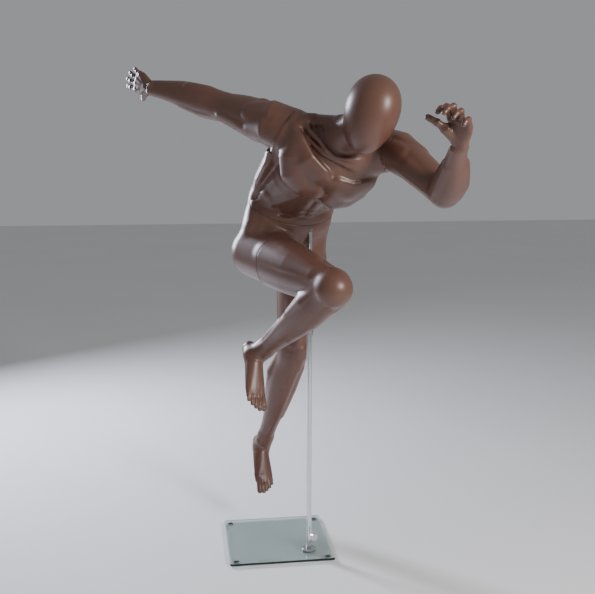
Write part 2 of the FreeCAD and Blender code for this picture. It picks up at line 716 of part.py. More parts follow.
def finger(name, points, root, tip):
    """A tapering bent finger: a cone along each bone and a slightly fuller ball at each knuckle."""
    pieces = []
    last = len(points) - 1
    radii = [root + (tip - root) * i / last for i in range(last + 1)]
    for i, point in enumerate(points):
        knuckle = add("Part::Sphere", f"{name}_knuckle_{i}", Radius=f"{KNUCKLE * radii[i]:.3f}")
        ahead = points[min(i + 1, last)] - points[min(i, last - 1)]
        knuckle.Placement = turned(point, ahead)
        pieces.append(knuckle)
        if i < last:
            bone = add("Part::Cone", f"{name}_bone_{i}", Radius1=f"{radii[i]:.3f}",
                       Radius2=f"{radii[i + 1]:.3f}", Height=f"{(points[i + 1] - point).Length:.3f}")
            bone.Placement = turned(point, points[i + 1] - point)
            pieces.append(bone)
    return pieces


def hand(side, seam, along, across, palm_long, fingers, thumb):
    """A solid cast hand: palm, four fingers and a thumb. across is the palm's wide direction."""
    wrist = seam.child_face
    stations = [("wrist_seam", 0, seam.normal), ("palm_root", 22, along),
                ("palm_mid", palm_long * 0.62, along), ("knuckles", palm_long, along)]
    pieces = lofts(f"{side}_palm", [
        section(f"{side}_palm_{i}", key, wrist + along * reach, normal, across)
        for i, (key, reach, normal) in enumerate(stations)
    ])
    for i, points in enumerate(fingers):
        pieces += finger(f"{side}_finger_{i}", points, 9.2 - 0.4 * i, 7.4 - 0.3 * i)
    pieces += finger(f"{side}_thumb", thumb, 12, 9)
    return cut(f"{side}_hand", fused(f"{side}_hand_raw", pieces), seam.child_tools)


FINGER_LONG = (80, 90, 84, 66)
FINGER_SETBACK = (2, 0, 4, 12)
FINGER_SHARES = (0.18, 0.40, 0.26, 0.16)


def spread_fingers(wrist, along, across, palm, palm_long, spacing, bends):
    """Points of four fingers, index first, each joint bent by so many degrees towards the palm's side."""
    fingers = []
    for i, long in enumerate(FINGER_LONG):
        root = wrist + along * (palm_long - 12 - FINGER_SETBACK[i]) + across * (spacing * (1.5 - i))
        fan = across * (0.10 * (1.5 - i))
        points = [root]
        for share, bend in zip(FINGER_SHARES, bends):
            turn = math.radians(bend)
            step = unit(along * math.cos(turn) + palm * math.sin(turn) + fan)
            points.append(points[-1] + step * (long * share))
        fingers.append(points)
    return fingers


def hand_points(wrist, along, across, palm, spots):
    """Points given by how far they lie along, across and out of the palm."""
    return [wrist + along * a + across * b + palm * c for a, b, c in spots]


def right_hand():
    """The right hand, open, its back to the front and its thumb down."""
    along = unit(Vector(-0.566, 0.783, 0.244))
    across = unit(-UP + along * along.dot(UP))
    palm = across.cross(along)
    wrist = WRIST_R.child_face
    fingers = spread_fingers(wrist, along, across, palm, 80, 17, (4, 12, 26, 40))
    thumb = hand_points(wrist, along, across, palm, [(16, 8, 2), (34, 24, 8), (46, 38, 14), (54, 50, 20)])
    return hand("right", WRIST_R, along, across, 80, fingers, thumb)


def left_hand():
    """The left hand, half closed, its palm to the front and the thumb inward."""
    along = unit(Vector(-0.176, -0.466, 0.866))
    reach = Vector(-0.597, 0.742, 0.294)
    across = unit(reach - along * along.dot(reach))
    palm = along.cross(across)
    wrist = WRIST_L.child_face
    fingers = spread_fingers(wrist, along, across, palm, 80, 19, (4, 14, 84, 114))
    thumb = hand_points(wrist, along, across, palm, [(24, 14, 8), (55, 27, 24), (75, 45, 38), (89, 65, 50)])
    return hand("left", WRIST_L, along, across, 80, fingers, thumb)


shells = [pelvis_and_left_leg(), right_leg(), upper_torso(), head(), right_arm(), left_arm(), right_hand(),
          left_hand()]
fittings = []
for seam in (WAIST, SHOULDER_R, SHOULDER_L, HIP_R, WRIST_R, WRIST_L):
    fittings += [seam.socket, seam.stud, seam.socket_screws, seam.stud_screws]

# ---------------------------------------------------------------- check and write

doc.recompute()
for thing in doc.Objects:
    if "Invalid" in thing.State or "Error" in thing.State:
        raise RuntimeError(f"{thing.Name} failed: {thing.State}")
os.makedirs("parts", exist_ok=True)
for part in stand + shells + fittings:
    if part.Shape.isNull() or not part.Shape.isValid():
        raise RuntimeError(f"{part.Label} has no valid shape")
    part.Shape.exportStep(f"parts/{part.Label}.step")
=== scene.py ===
"""A full body mannequin with an egg head, leaping over a square glass plate on one chrome rod.

Each moulded shell is sculpted as one solid from sections, muscles, ridges and creases, then cut at the
same seams as the CAD. Lengths are in millimetres until a mesh is made, and in metres after that. X runs
along the front edge of the plate, Y away from the chest and Z up, from the rod's axis on the floor.
"""

import json
import math

import bmesh
import bpy
import numpy as np
import openvdb
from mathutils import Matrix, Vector


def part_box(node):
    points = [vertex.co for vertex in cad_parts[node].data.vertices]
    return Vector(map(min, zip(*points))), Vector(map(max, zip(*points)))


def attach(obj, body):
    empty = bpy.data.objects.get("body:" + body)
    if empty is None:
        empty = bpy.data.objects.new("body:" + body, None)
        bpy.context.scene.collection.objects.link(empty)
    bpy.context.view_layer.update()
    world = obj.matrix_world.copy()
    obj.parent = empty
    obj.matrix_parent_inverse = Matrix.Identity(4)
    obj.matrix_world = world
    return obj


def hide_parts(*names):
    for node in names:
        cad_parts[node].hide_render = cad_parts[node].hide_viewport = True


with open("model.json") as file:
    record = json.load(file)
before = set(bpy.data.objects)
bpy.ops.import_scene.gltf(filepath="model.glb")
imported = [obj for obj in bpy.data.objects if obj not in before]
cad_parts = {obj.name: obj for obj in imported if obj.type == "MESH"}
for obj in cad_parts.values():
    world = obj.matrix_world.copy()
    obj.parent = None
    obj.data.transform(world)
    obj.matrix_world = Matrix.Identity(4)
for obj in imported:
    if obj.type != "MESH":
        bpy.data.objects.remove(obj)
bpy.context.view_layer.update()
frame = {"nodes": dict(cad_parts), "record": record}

MM = 0.001
FAR = 1000.0
ROOM = 34.0          # space left round a shell's CAD box for its muscles
JOIN = 18.0          # how softly a limb runs into the trunk
STEP_BODY = 2.4      # grid steps of the sculpted solids
STEP_LEG = 1.9
STEP_ARM = 2.0
STEP_HAND = 1.3


# ---------------------------------------------------------------- vectors


def vec(*parts):
    return np.array(parts, float)


def unit(vector):
    vector = np.asarray(vector, float)
    return vector / np.linalg.norm(vector)


def towards(a, b, share):
    return a + (b - a) * share


# ---------------------------------------------------------------- the solid on its grid


def smooth_min(a, b, blend):
    """The lesser of two distances, rounded off where they are within blend of each other."""
    near = np.maximum(blend - np.abs(a - b), 0.0) / blend
    return np.minimum(a, b) - near * near * blend * 0.25


class Solid:
    """A solid as distances to its skin, in mm, on a grid of points; they are negative inside."""

    def __init__(self, low, high, step):
        self.low = np.array(low, float)
        self.step = step
        self.shape = np.ceil((np.array(high) - self.low) / step).astype(int) + 1
        self.value = np.full(self.shape, FAR, np.float32)

    def like(self):
        """An empty solid on the same grid."""
        other = Solid(self.low, self.low, self.step)
        other.shape = self.shape
        other.value = np.full(self.shape, FAR, np.float32)
        return other

    def window(self, low, high):
        """The part of the grid inside a box, as slices and coordinates, or None."""
        first = np.clip(np.floor((low - self.low) / self.step).astype(int), 0, self.shape)
        last = np.clip(np.ceil((high - self.low) / self.step).astype(int) + 1, 0, self.shape)
        if (last - first).min() <= 0:
            return None
        slices = tuple(slice(i, j) for i, j in zip(first, last))
        axes = [
            (self.low[k] + self.step * np.arange(first[k], last[k])).astype(np.float32) for k in range(3)
        ]
        return slices, np.meshgrid(*axes, indexing="ij", sparse=True)

    def whole(self):
        return self.window(self.low, self.low + self.shape * self.step)

    def tube(self, rings, blend, cutting=False):
        """Adds a tube through elliptical rings with rounded ends, or cuts it away.

        A ring is (centre, side, half width along side, half width across it)."""
        reach = max(max(r[2], r[3]) for r in rings) + blend + 3 * self.step
        centres = np.array([r[0] for r in rings])
        spare = reach + 2 * self.step
        found = self.window(centres.min(0) - spare, centres.max(0) + spare)
        if not found:
            return
        slices, _ = found
        distance = self.tube_distance(rings, slices, reach)
        old = self.value[slices]
        if cutting:
            self.value[slices] = -smooth_min(-old, distance, max(blend, 0.1))
        elif blend:
            self.value[slices] = smooth_min(old, distance, blend)
        else:
            self.value[slices] = np.minimum(old, distance)

    def tube_distance(self, rings, slices, reach):
        """Distance to a tube over a part of the grid, by the section at its centre line's nearest point."""
        shape = tuple(s.stop - s.start for s in slices)
        origin = np.array([s.start for s in slices])
        nearest = np.full(shape, np.inf, np.float32)
        along = np.zeros(shape, np.float32)
        for i, (a, b) in enumerate(zip(rings, rings[1:])):
            found = self.window(np.minimum(a[0], b[0]) - reach, np.maximum(a[0], b[0]) + reach)
            if not found:
                continue
            local = tuple(slice(s.start - o, s.stop - o) for s, o in zip(found[0], origin))
            gap, share = line_distance(found[1], a[0], b[0])
            closer = gap < nearest[local]
            nearest[local] = np.where(closer, gap, nearest[local])
            along[local] = np.where(closer, i + share, along[local])
        distance = np.full(shape, FAR, np.float32)
        known = np.isfinite(nearest)
        spots = np.nonzero(known)
        points = [np.float32(self.low[k] + self.step * (origin[k] + spots[k])) for k in range(3)]
        distance[known] = ring_distance(points, along[known], rings)
        return distance

    def soften(self, passes):
        """Evens out the skin over a few grid steps."""
        band = 4 * self.step
        value = np.clip(self.value, -band, band)
        for _ in range(passes):
            for axis in range(3):
                ahead, behind = np.roll(value, -1, axis), np.roll(value, 1, axis)
                value = 0.5 * value + 0.25 * (ahead + behind)
        near = np.abs(self.value) < band
        self.value[near] = value[near]

    def join(self, other, blend):
        self.value = smooth_min(self.value, other.value, blend)

    def keep(self, distance):
        """Keeps what lies inside a distance given over the whole grid."""
        self.value = np.maximum(self.value, distance)


def line_distance(points, a, b):
    """Squared distance from points to a line between two ends, and how far along it they lie."""
    run = (b - a).astype(np.float32)
    rest = [p - np.float32(c) for p, c in zip(points, a)]
    share = sum(r * u for r, u in zip(rest, run)) / max(float(run @ run), 1e-6)
    share = np.clip(share, 0.0, 1.0)
    return sum((r - share * u) ** 2 for r, u in zip(rest, run)), share


def ring_distance(points, along, rings):
    """Distance from points to the elliptical sections found for them on a tube's centre line."""
    count = np.arange(len(rings))
    table = np.array([[*r[0], *r[1], r[2], r[3]] for r in rings])
    values = [np.interp(along, count, column).astype(np.float32) for column in table.T]
    rest = [p - c for p, c in zip(points, values[:3])]
    side = values[3:6]
    length = np.sqrt(sum(s * s for s in side))
    beside = (sum(r * s for r, s in zip(rest, side)) / length) ** 2
    across = np.maximum(sum(r * r for r in rest) - beside, 0.0)
    wide, deep = values[6] ** 2, values[7] ** 2
    near = np.sqrt(beside / wide + across / deep)
    slope = np.sqrt(beside / wide ** 2 + across / deep ** 2) + 1e-7
    return near * (near - 1.0) / slope


# ---------------------------------------------------------------- forms and the muscles on them


class Form:
    """A run of elliptical sections through stations, which can also find places on its own skin.

    A station is (centre, side, (half width along side, half depth)). A place is (along, angle): along is
    the station counted from 0, and the angle is in degrees, 0 on the front and 90 on the side."""

    def __init__(self, stations, middle=((0, 0), (1, 0))):
        self.centres = np.array([s[0] for s in stations], float)
        self.sides = np.array([unit(s[1]) for s in stations])
        self.sizes = np.array([s[2] for s in stations], float)
        self.middle = np.array(middle, float)

    def curve(self, table, along):
        """A smooth curve through the stations' values."""
        last = len(table) - 1
        i = int(np.clip(np.floor(along), 0, last - 1))
        t = along - i
        before, start, end = table[max(i - 1, 0)], table[i], table[i + 1]
        after = table[min(i + 2, last)]
        return 0.5 * (2 * start + (end - before) * t + (2 * before - 5 * start + 4 * end - after) * t * t
                      + (3 * start - before - 3 * end + after) * t ** 3)

    def ring(self, along):
        wide, deep = self.curve(self.sizes, along)
        return self.curve(self.centres, along), unit(self.curve(self.sides, along)), wide, deep

    def place(self, along, angle, lift=0.0):
        """The point on the skin at a place, and the way out from it."""
        centre, side, wide, deep = self.ring(along)
        nudge = 0.02
        axis = unit(self.curve(self.centres, along + nudge) - self.curve(self.centres, along - nudge))
        side = unit(side - axis * side.dot(axis))
        front = np.cross(side, axis)
        turn = math.radians(angle + np.interp(along, self.middle[:, 0], self.middle[:, 1]))
        out = unit(side * math.sin(turn) / wide + front * math.cos(turn) / deep)
        return centre + side * math.sin(turn) * wide + front * math.cos(turn) * deep + out * lift, out

    def draw(self, solid, steps=4):
        """The form itself, its sections joined in short straight runs."""
        last = len(self.centres) - 1
        solid.tube([self.ring(share) for share in np.linspace(0, last, last * steps + 1)], 0)

    def muscle(self, solid, spots, flat=0.5, blend=12.0, mirror=False):
        """A muscle through beads of (along, angle, half width, bulge above the skin)."""
        rings = []
        for along, angle, radius, bulge in spots:
            point, out = self.place(along, -angle if mirror else angle, bulge - radius * flat)
            rings.append((point, out, radius * flat, radius))
        solid.tube(rings if len(rings) > 1 else rings * 2, blend)

    def groove(self, solid, spots, blend=5.0, mirror=False):
        """A crease through beads of (along, angle, radius, depth below the skin)."""
        rings = []
        for along, angle, radius, depth in spots:
            point, out = self.place(along, -angle if mirror else angle, radius - depth)
            rings.append((point, out, radius, radius))
        solid.tube(rings, blend, cutting=True)


# ---------------------------------------------------------------- the figure's points

WAIST = vec(-41, 62, 1266)
BELLY = vec(-10, -25, 1332)
CHEST = vec(30, -135, 1412)
NECK = vec(74, -236, 1502)
SKULL = vec(143, -353, 1566)
PELVIS = vec(-70, 95, 1165)
SHOULDER_R, ELBOW_R, WRIST_R = vec(-96, -123, 1519), vec(-317, 105, 1615), vec(-537, 267, 1683)
SHOULDER_L, ELBOW_L, WRIST_L = vec(220, -242, 1458), vec(319, -520, 1340), vec(296, -708, 1472)
HIP_R, GROIN_R = vec(-172, 55, 1110), vec(-117, -58, 1088)
KNEE_R, ANKLE_R = vec(22, -350, 1037), vec(-170, -35, 772)
HEEL_R, TOE_R = vec(-216, 2, 768), vec(-197, -134, 612)
HIP_L, KNEE_L, ANKLE_L = vec(0, 138, 1163), vec(-40, 137, 726), vec(-130, 321, 330)
HEEL_L, TOE_L = vec(-150, 362, 306), vec(-134, 238, 166)

UP = vec(0, 0, 1)
HIPS_ACROSS = vec(0.87, 0.48, 0.08)
CHEST_ACROSS = vec(0.92, -0.33, -0.22)
ARM_DOWN = vec(0.2, 0, -0.98)
LEG_FRONT = vec(0.5, -0.86, 0)
SHIN_FRONT = vec(0.6, -0.3, -0.6)
FOREARM_OUT = vec(0.9, 0.3, 0.1)
THIGH_R = unit(KNEE_R - HIP_R)
FOREARM_R = unit(WRIST_R - ELBOW_R)
FOREARM_L = unit(WRIST_L - ELBOW_L)
WAIST_NORMAL = unit((0.20, -0.50, 0.84))
SHOULDER_R_NORMAL = unit((-0.78, 0.35, 0.52))
SHOULDER_L_NORMAL = unit((0.93, -0.28, -0.24))

# ---------------------------------------------------------------- trunk

TRUNK = Form([
    (PELVIS + (-4, 10, -104), HIPS_ACROSS, (70, 52)),
    (PELVIS + (-6, 8, -58), HIPS_ACROSS, (132, 92)),
    (PELVIS, HIPS_ACROSS, (160, 94)),
    (PELVIS + (20, -20, 62), (0.91, 0.40, 0.02), (150, 108)),
    (WAIST + (-8, 9, 7), (0.95, 0.28, 0), (144, 110)),
    (WAIST + (-2, -28, 56), (0.98, 0.16, -0.08), (136, 104)),
    (BELLY + (-9, -30, 32), (0.98, -0.02, -0.14), (128, 98)),
    (CHEST + (-8, 4, 4), (0.95, -0.2, -0.2), (152, 100)),
    (CHEST + (20, -42, 40), CHEST_ACROSS, (148, 96)),
    (NECK + (-12, 26, -24), CHEST_ACROSS, (104, 74)),
    (NECK, CHEST_ACROSS, (62, 59)),
    (towards(NECK, SKULL, 0.42), CHEST_ACROSS, (58, 55)),
    (towards(NECK, SKULL, 0.85), CHEST_ACROSS, (58, 55)),
], middle=((4, 5), (6, 8), (7, 11), (8, 6), (9, 2)))

# Each is (flatness, blend, beads); the angle is positive on the figure's left and mirrored for its right.
TRUNK_PAIRS = {
    "chest": (0.50, 9, [(6.80, 12, 34, 22), (6.68, 28, 40, 28), (6.76, 46, 42, 29), (7.15, 62, 42, 25),
                        (7.7, 76, 38, 16)]),
    "upper_chest": (0.45, 14, [(7.5, 14, 42, 18), (7.55, 36, 48, 23), (7.9, 60, 44, 20)]),
    "collar_bone": (0.9, 7, [(9.05, 4, 7, 8), (9.05, 22, 7, 10), (9.05, 45, 7, 12), (8.92, 66, 8, 14),
                             (8.72, 88, 9, 12)]),
    "shoulder_cord": (0.9, 7, [(9.25, 4, 7, 9), (9.42, 22, 7, 14), (9.58, 46, 8, 21), (9.45, 72, 9, 33),
                                (9.25, 92, 9, 43)]),
    "upper_belly": (0.45, 8, [(6.2, 9, 16, 5), (5.85, 10, 17, 6)]),
    "mid_belly": (0.45, 7, [(5.55, 10, 17, 6), (5.2, 10, 17, 5)]),
    "low_belly": (0.40, 10, [(4.85, 11, 20, 4), (3.9, 10, 18, 2)]),
    "rib_edge": (0.7, 8, [(6.35, 20, 9, 3), (6.0, 32, 10, 5), (5.5, 46, 10, 4), (5.1, 56, 9, 2)]),
    "oblique": (0.35, 14, [(5.2, 66, 30, 5), (4.6, 68, 34, 7), (4.1, 68, 28, 5)]),
    "lat": (0.42, 16, [(7.8, 98, 34, 8), (7.2, 104, 44, 12), (6.5, 112, 40, 9), (5.8, 124, 34, 3)]),
    "teres": (0.5, 14, [(7.9, 112, 30, 10), (7.6, 128, 30, 8)]),
    "shoulder_blade": (0.35, 16, [(8.0, 140, 40, 8), (7.4, 142, 36, 6)]),
    "trapezius": (0.6, 18, [(10.2, 125, 28, 12), (9.4, 116, 38, 38), (8.8, 108, 42, 44),
                            (8.3, 98, 36, 28)]),
    "back_cord": (0.5, 14, [(7.2, 168, 24, 5), (5.6, 166, 24, 8), (4.4, 166, 24, 8), (3.5, 168, 22, 3)]),
    "hip_crest": (0.6, 12, [(3.6, 52, 16, 3), (3.5, 74, 18, 7), (3.4, 96, 18, 6)]),
    "buttock": (0.55, 20, [(2.3, 146, 62, 22), (1.7, 150, 60, 24), (1.2, 146, 50, 14)]),
    "hip_side": (0.5, 20, [(2.4, 100, 44, 8), (1.9, 104, 42, 6)]),
}
TRUNK_RIGHT = {
    "stretched_lat": (0.45, 18, [(7.8, -108, 38, 34), (7.3, -112, 46, 46), (6.8, -114, 52, 48),
                                 (6.1, -116, 52, 40), (5.2, -118, 48, 24), (4.4, -118, 44, 14)]),
    "flank": (0.5, 18, [(4.4, -118, 44, 16), (3.6, -120, 52, 24), (2.9, -120, 58, 28),
                        (2.3, -118, 56, 22)]),
    "groin_ridge": (0.8, 12, [(2.85, -74, 13, 6), (2.68, -54, 14, 9), (2.62, -38, 13, 9),
                              (2.42, -26, 11, 6)]),
}
TRUNK_MIDDLE = {
    "pubis": (0.6, 16, [(2.3, 0, 34, 6), (1.6, 0, 30, 6)]),
}
TRUNK_GROOVES = {
    "spine": (14, [(8.4, 180, 12, 4), (6.8, 180, 12, 6), (5.0, 180, 12, 7), (3.6, 180, 12, 5),
                   (2.6, 180, 9, 4)]),
    "cleft": (8, [(2.6, 180, 6, 2), (2.0, 180, 7, 12), (1.2, 180, 8, 18), (0.6, 180, 8, 14)]),
}


def draw_trunk(solid):
    TRUNK.draw(solid)
    for flat, blend, spots in TRUNK_PAIRS.values():
        TRUNK.muscle(solid, spots, flat, blend)
        TRUNK.muscle(solid, spots, flat, blend, mirror=True)
    for flat, blend, spots in (*TRUNK_MIDDLE.values(), *TRUNK_RIGHT.values()):
        TRUNK.muscle(solid, spots, flat, blend)
    for blend, spots in TRUNK_GROOVES.values():
        TRUNK.groove(solid, spots, blend)
    draw_egg(solid)


EGG_LONG, EGG_WIDE, EGG_DEEP = 122.0, 80.0, 96.0
EGG_TAPER = 0.16
EGG_CENTRE = SKULL + (-10, 2, 2)
CROWN = unit((0.24, -0.12, 0.96))
EGG_SIDE = unit(np.cross(unit((-0.3, 1, 0)), CROWN))


def draw_egg(solid):
    """The head, a smooth egg that narrows to the chin."""
    margin = EGG_LONG + 25
    found = solid.window(EGG_CENTRE - margin, EGG_CENTRE + margin)
    if not found:
        return
    slices, points = found
    rest = [p - np.float32(c) for p, c in zip(points, EGG_CENTRE)]
    front = np.cross(CROWN, EGG_SIDE)
    high, wide, deep = (sum(r * a for r, a in zip(rest, axis)) for axis in (CROWN, EGG_SIDE, front))
    swell = 1.0 + EGG_TAPER * np.clip(high / EGG_LONG, -1.0, 1.0)
    sizes = (EGG_LONG, EGG_WIDE * swell, EGG_DEEP * swell)
    near = np.sqrt(sum((v / s) ** 2 for v, s in zip((high, wide, deep), sizes)))
    slope = np.sqrt(sum((v / s ** 2) ** 2 for v, s in zip((high, wide, deep), sizes))) + 1e-7
    solid.value[slices] = smooth_min(solid.value[slices], near * (near - 1) / slope, 9.0)


# ---------------------------------------------------------------- arms

# Right arm: 90 is the underside, -90 the top and 180 faces the front.
ARM_R = Form([
    (vec(8, -160, 1462), ARM_DOWN, (84, 70)),
    (SHOULDER_R, ARM_DOWN, (78, 64)),
    (towards(SHOULDER_R, ELBOW_R, 0.22) + (0, 0, 7), ARM_DOWN, (72, 62)),
    (towards(SHOULDER_R, ELBOW_R, 0.52) + (0, 0, 12), ARM_DOWN, (63, 56)),
    (towards(SHOULDER_R, ELBOW_R, 0.90) + (0, 0, 5), ARM_DOWN, (50, 47)),
    (towards(ELBOW_R, WRIST_R, 0.16) + (0, 0, 8), ARM_DOWN, (53, 47)),
    (towards(ELBOW_R, WRIST_R, 0.45) + (0, 0, 10), ARM_DOWN, (48, 39)),
    (towards(ELBOW_R, WRIST_R, 0.78) + (0, 0, 6), ARM_DOWN, (35, 27)),
    (WRIST_R, ARM_DOWN, (28, 22)),
    (WRIST_R + FOREARM_R * 30, ARM_DOWN, (28, 20)),
])
ARM_R_MUSCLES = {
    "deltoid_front": (0.5, 14, [(0.9, 175, 34, 8), (1.6, 178, 36, 12), (2.4, 150, 26, 5)]),
    "deltoid_top": (0.5, 14, [(0.9, -95, 34, 8), (1.7, -110, 38, 12), (2.6, -150, 24, 3)]),
    "deltoid_back": (0.5, 14, [(1.1, -20, 34, 6), (1.8, -25, 34, 8), (2.5, -60, 22, 2)]),
    "biceps": (0.6, 10, [(2.3, 130, 24, 5), (3.0, 140, 28, 8), (3.7, 150, 20, 3)]),
    "triceps": (0.6, 10, [(2.2, 40, 26, 6), (3.0, 25, 28, 8), (3.7, 10, 20, 3)]),
    "forearm_top": (0.55, 10, [(3.8, -110, 20, 3), (4.7, -120, 26, 6), (5.7, -130, 18, 2)]),
    "forearm_under": (0.55, 10, [(4.2, 110, 22, 3), (4.9, 100, 26, 6), (6.0, 100, 18, 1)]),
    "elbow_point": (0.8, 8, [(4.25, 10, 15, 6)]),
    "wrist_bone": (0.7, 6, [(7.7, -150, 9, 3)]),
}

# Left arm: 90 is the top of the upper arm, and the outside of the forearm.
ARM_L = Form([
    (vec(116, -207, 1452), UP, (84, 70)),
    (SHOULDER_L, UP, (65, 57)),
    (towards(SHOULDER_L, ELBOW_L, 0.25) + (0, 0, 13), UP, (60, 56)),
    (towards(SHOULDER_L, ELBOW_L, 0.55) + (0, 0, 14), UP, (54, 52)),
    (towards(SHOULDER_L, ELBOW_L, 0.98), UP, (47, 44)),
])
FOREARM = Form([
    (towards(ELBOW_L, WRIST_L, 0.02), FOREARM_OUT, (49, 45)),
    (towards(ELBOW_L, WRIST_L, 0.20) + (5, 0, 0), FOREARM_OUT, (50, 45)),
    (towards(ELBOW_L, WRIST_L, 0.50) + (6, 0, 0), FOREARM_OUT, (43, 38)),
    (towards(ELBOW_L, WRIST_L, 0.80), FOREARM_OUT, (31, 25)),
    (WRIST_L, FOREARM_OUT, (28, 22)),
    (WRIST_L + FOREARM_L * 30, FOREARM_OUT, (28, 20)),
])
ARM_L_MUSCLES = {
    "deltoid_top": (0.5, 14, [(0.9, 100, 32, 5), (1.7, 80, 36, 10), (2.6, 50, 24, 3)]),
    "deltoid_front": (0.5, 14, [(0.9, 175, 30, 5), (1.7, 160, 34, 9), (2.5, 150, 22, 2)]),
    "biceps": (0.6, 10, [(2.3, 175, 26, 4), (3.0, 180, 30, 8), (3.7, 180, 22, 3)]),
    "triceps": (0.6, 10, [(2.1, -60, 28, 5), (2.9, -70, 30, 8), (3.6, -70, 22, 3)]),
}
FOREARM_MUSCLES = {
    "outer": (0.55, 10, [(0.3, 70, 24, 3), (1.2, 60, 28, 6), (2.4, 50, 20, 2)]),
    "inner": (0.55, 10, [(0.3, -110, 24, 3), (1.1, -110, 28, 6), (2.4, -100, 20, 2)]),
}


def draw_muscles(form, muscles, solid):
    for flat, blend, spots in muscles.values():
        form.muscle(solid, spots, flat, blend)


def draw_right_arm(solid):
    ARM_R.draw(solid)
    draw_muscles(ARM_R, ARM_R_MUSCLES, solid)


def draw_left_arm(solid):
    ARM_L.draw(solid)
    draw_muscles(ARM_L, ARM_L_MUSCLES, solid)
    fore = solid.like()
    FOREARM.draw(fore)
    draw_muscles(FOREARM, FOREARM_MUSCLES, fore)
    solid.join(fore, 10.0)


# ---------------------------------------------------------------- legs

# Left leg: 0 is the outside, 90 the front, 180 the inside and -90 the back.
LEG_L = Form([
    (HIP_L + (-6, -8, 10), LEG_FRONT, (90, 86)),
    (towards(HIP_L, KNEE_L, 0.24), LEG_FRONT, (88, 84)),
    (towards(HIP_L, KNEE_L, 0.48), LEG_FRONT, (79, 75)),
    (towards(HIP_L, KNEE_L, 0.74), LEG_FRONT, (66, 63)),
    (towards(HIP_L, KNEE_L, 0.97), LEG_FRONT, (60, 57)),
    (towards(KNEE_L, ANKLE_L, 0.12), LEG_FRONT, (57, 52)),
    (towards(KNEE_L, ANKLE_L, 0.30) + (-4, 7, 0), LEG_FRONT, (58, 54)),
    (towards(KNEE_L, ANKLE_L, 0.54), LEG_FRONT, (49, 45)),
    (towards(KNEE_L, ANKLE_L, 0.80), LEG_FRONT, (34, 31)),
    (towards(KNEE_L, ANKLE_L, 1.08), LEG_FRONT, (32, 30)),
])
LEG_MUSCLES = {
    "thigh_front": (0.5, 14, [(0.4, 90, 34, 4), (1.4, 92, 38, 8), (2.6, 92, 30, 4)]),
    "thigh_outside": (0.5, 14, [(0.9, 35, 36, 4), (2.2, 38, 36, 7), (3.3, 46, 24, 3)]),
    "thigh_inside": (0.5, 12, [(2.3, 138, 30, 4), (3.1, 134, 30, 9), (3.65, 130, 20, 4)]),
    "hamstring_out": (0.5, 12, [(0.9, -62, 32, 3), (2.2, -62, 30, 6), (3.5, -52, 18, 3)]),
    "hamstring_in": (0.5, 12, [(0.9, -118, 32, 3), (2.2, -118, 30, 6), (3.5, -128, 18, 3)]),
    "kneecap": (0.55, 8, [(3.9, 90, 24, 7), (4.1, 90, 22, 7)]),
    "knee_cord": (0.8, 7, [(4.3, 90, 12, 3), (4.8, 92, 11, 5)]),
    "calf_in": (0.5, 10, [(4.9, -122, 26, 4), (5.8, -126, 32, 12), (6.8, -120, 20, 2)]),
    "calf_out": (0.5, 10, [(4.9, -58, 24, 4), (5.7, -56, 30, 10), (6.6, -62, 18, 1)]),
    "shin_edge": (0.9, 8, [(4.9, 98, 11, 3), (6.5, 102, 11, 4), (8.2, 104, 10, 2)]),
    "shin_muscle": (0.5, 9, [(5.0, 55, 20, 4), (6.2, 55, 20, 6), (7.4, 62, 14, 2)]),
    "heel_cord": (0.9, 8, [(7.3, -90, 13, 3), (8.3, -90, 10, 6), (9.0, -90, 10, 8)]),
    "ankle_out": (0.7, 6, [(8.72, -8, 13, 7)]),
    "ankle_in": (0.7, 6, [(8.62, 172, 13, 7)]),
}

# Right thigh: 90 is its top, 0 the inside, 180 the outside and -90 the underside.
THIGH = Form([
    (HIP_R + (2, 1, 1), UP, (96, 97)),
    (GROIN_R, UP, (86, 86)),
    (towards(HIP_R, KNEE_R, 0.52), UP, (80, 76)),
    (towards(HIP_R, KNEE_R, 0.76), UP, (66, 63)),
    (towards(HIP_R, KNEE_R, 0.99), UP, (60, 57)),
])
THIGH_MUSCLES = {
    "thigh_front": (0.5, 14, [(0.6, 90, 36, 3), (1.8, 92, 38, 7), (2.9, 92, 30, 4)]),
    "thigh_outside": (0.5, 14, [(1.0, 145, 36, 3), (2.2, 142, 36, 6), (3.3, 134, 24, 3)]),
    "thigh_inside": (0.5, 12, [(2.0, 40, 32, 4), (2.8, 44, 30, 8), (3.4, 50, 20, 4)]),
    "hamstring_out": (0.5, 12, [(1.0, -118, 34, 4), (2.2, -116, 30, 6), (3.4, -126, 18, 3)]),
    "hamstring_in": (0.5, 12, [(1.0, -62, 34, 4), (2.2, -62, 30, 6), (3.4, -52, 18, 3)]),
    "kneecap": (0.6, 9, [(3.9, 78, 26, 6), (4.1, 60, 24, 4)]),
}

